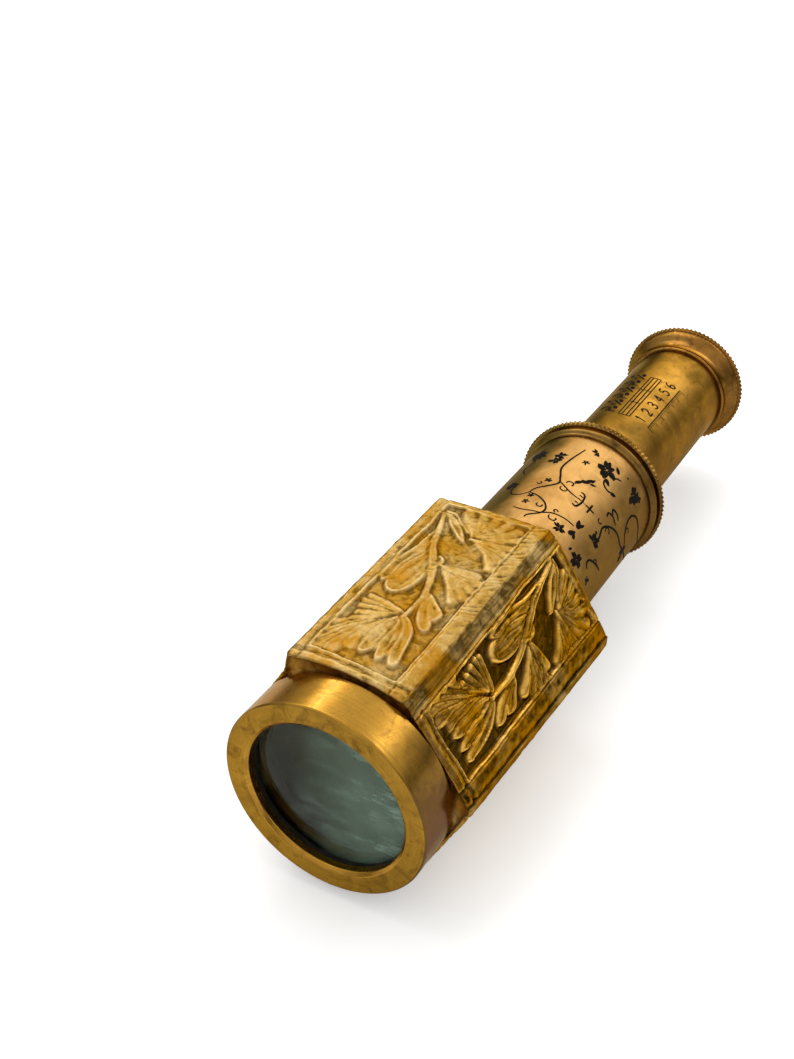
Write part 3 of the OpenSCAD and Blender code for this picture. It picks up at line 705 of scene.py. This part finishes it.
# Place, size, first angle and sweep
CURLS = (
    (4.5, 12.4, 0.7, -60, -230), (2.9, 15.9, 0.9, -70, -220), (5, 15.6, 0.5, 180, 240),
    (12, 13.9, 0.85, -60, -230), (14.2, 14.2, 0.8, 250, 220), (11.9, 23.1, 0.6, -50, -230),
    (12.6, 25.6, 0.75, 200, 240), (5, 28, 0.7, 200, 210), (19.6, 29.6, 0.8, 190, 220),
    (11.4, 9, 0.5, 0, 250))
# A three-pronged bracket over a small cross
BRACKET = (
    (0.42, (9.5, 16.8), (9.6, 17.7), (11.7, 18.1), (13.6, 17.7), (13.8, 16.8)),
    (0.3, (10.6, 16.9), (10.6, 17.7)), (0.3, (11.8, 16.9), (11.8, 17.9)), (0.3, (12.8, 16.9), (12.8, 17.7)),
    (0.16, (11.7, 18.2), (11.7, 19.3)), (0.44, (11.7, 19), (11.7, 21.1)), (0.44, (10.3, 20), (13.1, 20)))


def engraved_vines():
    """The scrolls as the photograph shows them, in mirror image on the tube's other half, and both again
    further forward."""
    ink = Inlay(MIDDLE_R + 0.03, 67.9, 58.9)
    for way, shift_x, shift_y in ((1, 0, 0), (-1, 28.5, 42.4), (1, -29.6, 3.0), (-1, -1.1, 45.4)):
        ink.way, ink.shift_x, ink.shift_y = way, shift_x, shift_y
        for width, *line in SCROLLS:
            ink.stroke(line, width, 0.7)
        for flower in FLOWERS:
            ink.flower(*flower)
        for x, y, length, width, angle in LEAVES:
            ink.blob(x, y, length * 1.2, width * 1.35, angle)
        for hook in CURLS:
            ink.curl(*hook)
        for width, *line in BRACKET:
            ink.stroke(line, width, 0.8)
    return ink.make("vine_engraving", "middle_draw")


# The numbers 1 to 6 as lines, 20 units wide and 32 high
DIGITS = (
    [[(5, 7), (10, 0), (10, 32)]],
    [[(1, 8), (4, 1.6), (12, 0), (18, 5), (17, 14), (8, 23), (0, 32)], [(0, 32), (20, 32)]],
    [[(1, 5), (8, 0), (17, 4), (16, 12), (8, 15), (17, 19), (18, 27), (9, 32), (0, 27)]],
    [[(14, 32), (14, 0)], [(14, 0), (0, 22)], [(0, 22), (20, 22)]],
    [[(18, 0), (3, 0)], [(3, 0), (1.6, 14)], [(1.6, 14), (10, 12), (18, 18), (17, 27), (9, 32), (0, 28)]],
    [[(16, 1), (6, 6), (1, 18), (3, 28), (10, 32), (17, 28), (17, 20), (10, 16), (2.4, 21)]])


def engraved_scale():
    """A plain rule with ticks and the numbers 1 to 6 on the eyepiece draw, under a row of leaf scrolls."""
    ink = Inlay(EYE_R + 0.025, 102.0)
    left, right = 13.8, 31.8
    band = 7.45, 8.2, 9.15, 9.9
    for y in band:
        ink.stroke([(left, y), (right, y)], 0.28, 0.9, 8)
    for x in (left, 19.8, 25.8, right):
        ink.stroke([(x, band[0]), (x, band[-1])], 0.28, 0.9, 3)
    for i, digit in enumerate(DIGITS):
        x = 14.2 + 3.3 * i
        for part in digit:
            ink.stroke([(x + 0.0675 * a, 11.0 + 0.0725 * b) for a, b in part], 0.38, 0.85, 4)
    rule = 14.4
    ink.stroke([(left, rule), (right, rule)], 0.24, 0.9, 8)
    for i in range(31):
        x = left + 0.6 * i
        ink.stroke([(x, rule), (x, 15.9 if i % 5 == 0 else 15.1)], 0.2, 0.9, 2)
    for i in range(6):
        x = 14.4 + 3.2 * i
        side = 1 if i % 2 else -1
        ink.stroke([(x, 6.5), (x + 0.8, 5.2 + 0.5 * side), (x + 2.0, 4.6), (x + 2.9, 3.4 + 0.4 * side)],
                   0.42, 0.5)
        ink.curl(x + 1.0, 4.4, 0.6, 90, 240 * side, 0.36)
        ink.blob(x + 2.2, 5.6, 1.8, 0.9, -35)
        ink.blob(x + 2.6, 2.6, 1.4, 0.8, -60 * side)
    return ink.make("rule_engraving", "eyepiece_draw")


# ------ materials

class Net:
    """Short calls for the nodes of one material or world."""

    def __init__(self, owner):
        self.owner = owner
        owner.use_nodes = True
        self.tree = owner.node_tree
        self.tree.nodes.clear()

    def plug(self, socket, value):
        if isinstance(value, bpy.types.NodeSocket):
            self.tree.links.new(value, socket)
        else:
            socket.default_value = value

    def add(self, kind, inputs=None, **options):
        node = self.tree.nodes.new(kind)
        for key, value in options.items():
            setattr(node, key, value)
        for key, value in (inputs or {}).items():
            self.plug(node.inputs[key], value)
        return node

    def math(self, operation, a, b=0, clamp=False):
        return self.add("ShaderNodeMath", {0: a, 1: b}, operation=operation, use_clamp=clamp).outputs[0]

    def plus(self, a, b, clamp=False):
        return self.math("ADD", a, b, clamp)

    def times(self, a, b):
        return self.math("MULTIPLY", a, b)

    def noise(self, vector, scale, detail=4, rough=0.55, warp=0):
        return self.add("ShaderNodeTexNoise", {
            "Vector": vector, "Scale": scale, "Detail": detail, "Roughness": rough, "Distortion": warp}).outputs[0]

    def span(self, value, low, high, to_low=0, to_high=1):
        return self.add("ShaderNodeMapRange", {
            "Value": value, "From Min": low, "From Max": high, "To Min": to_low, "To Max": to_high}).outputs[0]

    def blend(self, share, a, b):
        node = self.add("ShaderNodeMix", data_type="RGBA")
        for key, value in (("Factor", share), (6, a), (7, b)):
            self.plug(node.inputs[key], value)
        return node.outputs[2]

    def bump(self, height, strength, distance, before=None):
        inputs = {"Height": height, "Strength": strength, "Distance": distance}
        if before is not None:
            inputs["Normal"] = before
        return self.add("ShaderNodeBump", inputs).outputs["Normal"]

    def attribute(self, name):
        return self.add("ShaderNodeAttribute", attribute_name=name).outputs["Fac"]

    def place(self, scale=None, turn=(0, 0, 0)):
        place = self.add("ShaderNodeTexCoord").outputs["Object"]
        if scale is None:
            return place
        return self.add("ShaderNodeMapping", {"Vector": place, "Rotation": turn, "Scale": scale}).outputs[0]

    def from_axis(self):
        """Places along the axis, across it and up from it, and the radius."""
        x, y, z = self.add("ShaderNodeSeparateXYZ", {"Vector": self.place()}).outputs
        z = self.math("SUBTRACT", z, AXIS_Z)
        return x, y, z, self.math("SQRT", self.plus(self.times(y, y), self.times(z, z)))

    def shader(self, inputs):
        return self.add("ShaderNodeBsdfPrincipled", inputs).outputs[0]

    def metal(self, colour, roughness, normal, inputs=None):
        """Finishes a brass, which stays golden where it is seen at a flat angle."""
        return self.end(self.shader({
            "Base Color": colour, "Metallic": 1, "Roughness": roughness, "Normal": normal,
            "Specular Tint": rgb(212, 182, 124), **(inputs or {})}))

    def end(self, shader, kind="Material"):
        self.add("ShaderNodeOutput" + kind, {"Surface": shader})
        return self.owner


def new_net(name):
    return Net(bpy.data.materials.new(name))


def rgb(r, g, b):
    """A colour as it looks on screen, 0 to 255, as the linear value that a shader wants."""
    def lin(c):
        c /= 255
        return c / 12.92 if c <= 0.04045 else ((c + 0.055) / 1.055) ** 2.4
    return (lin(r), lin(g), lin(b), 1)


def painted_side_shade(n, colour, left, low, far_side_shade_tint, underside_shade_tint, least=0):
    """Painted shade: colour darkened towards a tint on the far side and along the underside of a round piece, past
    the least radius."""
    x, y, z, r = n.from_axis()
    patchy = n.span(n.noise(n.place(), 130, 5, 0.6), 0.3, 0.7, -0.14, 0.14)
    # far and under are the shares of painted shade on the far side and along the underside
    far = n.span(n.plus(n.math("DIVIDE", y, r), patchy), 0.16, 0.44, 0, left)
    under = n.span(n.plus(n.math("DIVIDE", z, r), patchy), 0.78, 0.34, 0, low)
    side = n.math("GREATER_THAN", r, least)
    colour = n.blend(n.times(under, side), colour, underside_shade_tint)
    return n.blend(n.times(far, side), colour, far_side_shade_tint)


def turned_brass(name, bright, mid, dark, rough, spots, left=0, low=0, least=0, coat=0.1):
    """Lacquered, turned brass with fine lines round it, cloudy tarnish and small dark specks. left and low are
    painted shade on its far side and its underside."""
    n = new_net(name)
    x, y, z, r = n.from_axis()
    round_ = n.times(n.math("ARCTAN2", y, z), 0.0006)
    lines = n.noise(n.add("ShaderNodeCombineXYZ", {0: x, 1: r, 2: round_}).outputs[0], 2600, 3, 0.6)
    place = n.place()
    cloud = n.noise(place, 95, 5, 0.62, 0.4)
    stain = n.noise(place, 330, 6, 0.7, 0.8)
    specks = n.span(n.noise(place, 900, 2, 0.5), 0.66, 0.74)
    colour = n.blend(n.span(cloud, 0.36, 0.66), mid, bright)
    for share in (n.times(n.span(stain, 0.5, 0.72), spots), n.times(specks, 0.6 * spots),
                  n.times(n.span(lines, 0.35, 0.7), 0.22)):
        colour = n.blend(share, colour, dark)
    if left or low:
        # Painted shade: olive on the far side, dark brown along the underside
        colour = painted_side_shade(n, colour, left, low, rgb(96, 82, 34), rgb(72, 48, 12), least)
    roughness = n.plus(n.span(cloud, 0.3, 0.7, rough + 0.05, rough - 0.04), n.span(stain, 0.4, 0.75, 0, 0.16))
    normal = n.bump(lines, 0.12, 0.00004)
    normal = n.bump(stain, 0.03, 0.00012, normal)
    tangent = n.add("ShaderNodeTangent", direction_type="RADIAL", axis="X").outputs[0]
    return n.metal(colour, roughness, normal, {
        "Anisotropic": 0.45, "Tangent": tangent, "Coat Weight": coat, "Coat Roughness": 0.22})


def cast_brass():
    """Cast, antiqued brass: pale worn crests, deep gold between, olive brown in the recesses, fine pitting.
    Glossy on narrow faces, matt and pale on broad ones. On narrow faces the darker colours are painted shade and
    the brighter crests painted highlights."""
    n = new_net("cast_brass")
    place = n.place()
    stand, height, gloss_and_shade = n.attribute("stand"), n.attribute("height"), n.attribute("gloss_and_shade")
    grime = n.noise(place, 420, 6, 0.65, 0.3)
    cloud = n.noise(place, 110, 5, 0.62)
    fine = n.noise(place, 2400, 3, 0.6)

    def by_gloss_and_shade(matt, glossy):
        return n.span(gloss_and_shade, 0, 1, matt, glossy)

    level = n.plus(stand, n.span(grime, 0.3, 0.7, -0.1, 0.1))
    # Painted shade and highlights: narrow faces take darker deeps and body, and brighter crests
    deep = n.blend(gloss_and_shade, rgb(96, 70, 22), rgb(44, 29, 4))
    body = n.blend(gloss_and_shade, rgb(176, 136, 60), rgb(152, 104, 20))
    crest = n.blend(gloss_and_shade, rgb(218, 188, 128), rgb(238, 184, 84))
    colour = n.blend(n.span(level, by_gloss_and_shade(0.36, 0.3), 0.48), deep, body)
    colour = n.blend(n.span(level, 0.52, 0.72), colour, crest)
    blotch = n.times(n.span(cloud, 0.44, 0.62), n.span(grime, 0.42, 0.56, 0.1, 0.7))
    colour = n.blend(n.times(blotch, by_gloss_and_shade(1, 0.3)), colour, rgb(208, 180, 122))
    colour = n.blend(n.times(n.span(cloud, 0.5, 0.36), 0.6), colour, rgb(172, 114, 16))
    # The sunk ground is darker: patina on the broad faces, and painted shade as well on the narrow ones, where it
    # is darkest
    sunk_patina_and_shade = n.times(n.span(height, 0.5, 0.1), by_gloss_and_shade(0.35, 0.8))
    colour = n.blend(sunk_patina_and_shade, colour, n.blend(gloss_and_shade, rgb(110, 80, 18), rgb(66, 45, 8)))
    colour = n.blend(n.times(n.span(fine, 0.58, 0.72), 0.5), colour, rgb(96, 70, 18))
    rough = n.plus(by_gloss_and_shade(0.42, 0.24), n.span(grime, 0.4, 0.7, 0, 0.12))
    return n.metal(colour, rough, n.bump(fine, 0.25, 0.00004, n.bump(grime, 0.35, 0.0001)))


def drawn_brass(name, bright, mid, dark, rough, scratch=0.5, left=0, low=0, patchy=0.55):
    """Drawn tube: marks along the axis, cloudy patches and faint scratches from sliding. left and low are the
    painted shade on its far side and its underside."""
    n = new_net(name)
    place = n.place()
    draws = n.noise(n.place((0.06, 1, 1)), 2600, 4, 0.6)
    cloud = n.noise(place, 75, 5, 0.6, 0.5)
    patch = n.noise(place, 260, 6, 0.68, 0.9)
    colour = n.blend(n.span(cloud, 0.35, 0.65), mid, bright)
    for share in (n.times(n.span(patch, 0.52, 0.74), patchy), n.times(n.span(cloud, 0.52, 0.34), patchy),
                  n.times(n.span(draws, 0.5, 0.75), 0.3 * scratch)):
        colour = n.blend(share, colour, dark)
    if left or low:
        # Painted shade: dark olive on the far side, brown along the underside
        colour = painted_side_shade(n, colour, left, low, rgb(74, 68, 34), rgb(98, 76, 42))
    roughness = n.plus(n.span(cloud, 0.3, 0.7, rough + 0.06, rough - 0.04), n.span(patch, 0.45, 0.75, 0, 0.14))
    normal = n.bump(draws, 0.12 * scratch, 0.00004)
    normal = n.bump(patch, 0.08, 0.0001, normal)
    return n.metal(colour, roughness, normal, {"Coat Weight": 0.08, "Coat Roughness": 0.3})


def black_brass():
    """Blackened metal, matt, with rubbed grey patches."""
    n = new_net("black_brass")
    worn = n.noise(n.place(), 700, 5, 0.65)
    return n.end(n.shader({
        "Base Color": n.blend(n.span(worn, 0.45, 0.75), rgb(26, 23, 20), rgb(58, 48, 34)), "Metallic": 0.35,
        "Roughness": n.span(worn, 0.3, 0.7, 0.62, 0.45), "Normal": n.bump(worn, 0.2, 0.00005)}))


def glass(name, tint, haze, haze_colour):
    """Old glass with a faint film of dust, thicker on its near side."""
    n = new_net(name)
    film = n.noise(n.place(), 150, 4, 0.55, 0.3)
    wipe = n.noise(n.place((1, 0.25, 1), (0.5, 0, 0)), 420, 5, 0.65)
    # Coated glass gives back less light than plain glass
    clear = n.shader({"Base Color": tint, "Roughness": 0.03, "IOR": 1.2, "Transmission Weight": 1.0})
    dust = n.shader({"Base Color": haze_colour, "Roughness": 0.4, "Specular IOR Level": 0.3})
    across = n.add("ShaderNodeSeparateXYZ", {"Vector": n.place()}).outputs[1]
    side = n.span(n.plus(across, n.span(film, 0.3, 0.7, -0.004, 0.004)), 0.006, -0.012)
    streaks = n.plus(n.span(film, 0.46, 0.72), n.span(wipe, 0.5, 0.66), clamp=True)
    share = n.times(n.plus(n.times(streaks, haze * 0.7), haze * 0.35), side)
    return n.end(n.add("ShaderNodeMixShader", {0: share, 1: clear, 2: dust}).outputs[0])


def engraving_fill():
    """Black wax in the engraved lines."""
    n = new_net("engraving_fill")
    worn = n.noise(n.place(), 1500, 4, 0.6)
    return n.end(n.shader({
        "Base Color": n.blend(n.span(worn, 0.5, 0.8), rgb(20, 16, 12), rgb(48, 36, 20)),
        "Specular IOR Level": 0.08, "Roughness": n.span(worn, 0.3, 0.7, 0.95, 0.8),
        "Normal": n.bump(worn, 0.3, 0.00005)}))


def dress(obj, *mats):
    obj.data.materials.clear()
    for mat in mats:
        obj.data.materials.append(mat)


# ------ floor and light

def make_floor():
    """A floor that looks white and keeps the object's shadow."""
    size = 3.0
    mesh = bpy.data.meshes.new("floor")
    mesh.from_pydata([(-size, -size, 0), (size, -size, 0), (size, size, 0), (-size, size, 0)], [], [(0, 1, 2, 3)])
    floor = bpy.data.objects.new("floor", mesh)
    bpy.context.scene.collection.objects.link(floor)
    n = new_net("floor")
    grain = n.span(n.noise(n.place(), 30.0, 3.0, 0.5), 0.3, 0.7)
    pale = n.blend(grain, (0.95, 0.95, 0.95, 1), (0.97, 0.97, 0.97, 1))
    shade = n.add("ShaderNodeBsdfDiffuse", {"Color": pale}).outputs[0]
    path = n.add("ShaderNodeLightPath").outputs
    mirrored = n.plus(path["Is Glossy Ray"], path["Is Transmission Ray"], clamp=True)
    seen = n.plus(n.times(path["Is Camera Ray"], 0.34), n.times(mirrored, 0.12))
    glow = n.add("ShaderNodeEmission", {"Color": (1, 1, 1, 1), "Strength": seen}).outputs[0]
    dress(floor, n.end(n.add("ShaderNodeAddShader", {0: shade, 1: glow}).outputs[0]))


def area(name, direction, distance, width, height, power):
    """A rectangular lamp that shines on the middle of the object."""
    data = bpy.data.lights.new(name, "AREA")
    data.shape = "RECTANGLE"
    data.size, data.size_y = width, height
    data.energy = power
    lamp = bpy.data.objects.new(name, data)
    d = Vector(direction).normalized()
    lamp.location = Vector((0, 0, 0.02)) + d * distance
    lamp.rotation_euler = d.to_track_quat("Z", "Y").to_euler()
    bpy.context.scene.collection.objects.link(lamp)


def make_world():
    """A studio that is dark up to the horizon and bright overhead."""
    n = Net(bpy.data.worlds.new("studio"))
    bpy.context.scene.world = n.owner
    way = n.add("ShaderNodeTexCoord").outputs["Generated"]
    up = n.add("ShaderNodeSeparateXYZ", {"Vector": way}).outputs[2]
    ramp = n.add("ShaderNodeValToRGB", {"Fac": n.plus(n.times(up, 0.5), 0.5)})
    stops = [(0.0, 0.10), (0.55, 0.10), (0.67, 0.62), (0.80, 0.86), (1.0, 0.78)]
    ramp.color_ramp.interpolation = "EASE"
    for pos, value in stops[1:-1]:
        ramp.color_ramp.elements.new(pos)
    for el, (pos, value) in zip(ramp.color_ramp.elements, stops):
        el.position = pos
        el.color = (value, value, value * 0.985, 1)
    n.end(n.add("ShaderNodeBackground", {"Color": ramp.outputs[0]}).outputs[0], "World")


# ------ put it together

# left and low give each piece painted shade on its far side and its underside
gold = turned_brass("polished_brass", rgb(200, 148, 46), rgb(176, 126, 34), rgb(104, 70, 20), rough=0.2, spots=0.5,
                    left=0.3, low=0.85, least=0.0177, coat=0.32)
# A darker copy of the ring's brass for its front face: painted shade
shaded_face_gold = turned_brass("ring_face_shaded_brass", rgb(172, 130, 48), rgb(144, 106, 36), rgb(86, 60, 20), rough=0.24,
                         spots=0.8)
ring_gold = turned_brass("collar_brass", rgb(164, 126, 64), rgb(134, 98, 42), rgb(76, 54, 24), rough=0.24,
                         spots=1.0, left=0.6, low=0.7)
bronze = turned_brass("dark_brass", rgb(182, 130, 58), rgb(144, 98, 38), rgb(76, 52, 20), rough=0.22, spots=1.0,
                      left=0.4, low=0.5)
peach = drawn_brass("engraved_brass", rgb(210, 164, 98), rgb(196, 146, 80), rgb(124, 92, 40), rough=0.42,
                    left=0.92, low=0.85, patchy=0.4)
mottled = drawn_brass("plain_brass", rgb(204, 152, 68), rgb(170, 124, 48), rgb(96, 72, 28), rough=0.33,
                      scratch=0.8, left=0.9, low=0.7, patchy=0.8)
inner = drawn_brass("inner_brass", rgb(170, 130, 70), rgb(140, 104, 52), rgb(80, 60, 30), rough=0.4)
black = black_brass()
object_glass = glass("objective_glass", (0.60, 0.62, 0.44, 1), 0.8, rgb(138, 166, 150))
eye_glass = glass("eyepiece_glass", (0.92, 0.95, 0.95, 1), 0.05, rgb(130, 140, 136))
wax = engraving_fill()
cast = cast_brass()

by_slot = {"polished_brass": gold, "cast_brass": cast, "engraved_brass": peach, "plain_brass": mottled,
           "dark_brass": bronze, "inner_brass": inner, "black_brass": black,
           "objective_glass": object_glass, "eyepiece_glass": eye_glass}
for row in frame["record"]["subparts"]:
    dress(frame["nodes"][row["node"]], by_slot[row["material_slot"]])

bezel()
dress(sleeve(), cast)
dress(guide_bush(), bronze)
dress(tube("engraved_tube", MIDDLE_BORE, MIDDLE_R, 48.02, 101.5, "middle_draw", "middle_draw_tube",
           320), peach)
dress(collar(), ring_gold)
dress(tube("plain_tube", EYE_BORE, EYE_R, 89.32, 150.42, "eyepiece_draw", "eyepiece_draw_tube",
           288), mottled)
dress(cap(), bronze)
dress(front_lens(), object_glass)
dress(engraved_vines(), wax)
dress(engraved_scale(), wax)

make_floor()
area("key", (0.2, 0.45, 1.0), 0.9, 0.7, 0.7, 2.4)
area("back", (0.74, -0.16, 0.60), 1.0, 1.0, 0.28, 1.7)
area("back_left", (0.62, 0.50, 0.60), 1.0, 0.16, 0.14, 0.45)
make_world()
bpy.context.scene.view_settings.view_transform = "Standard"
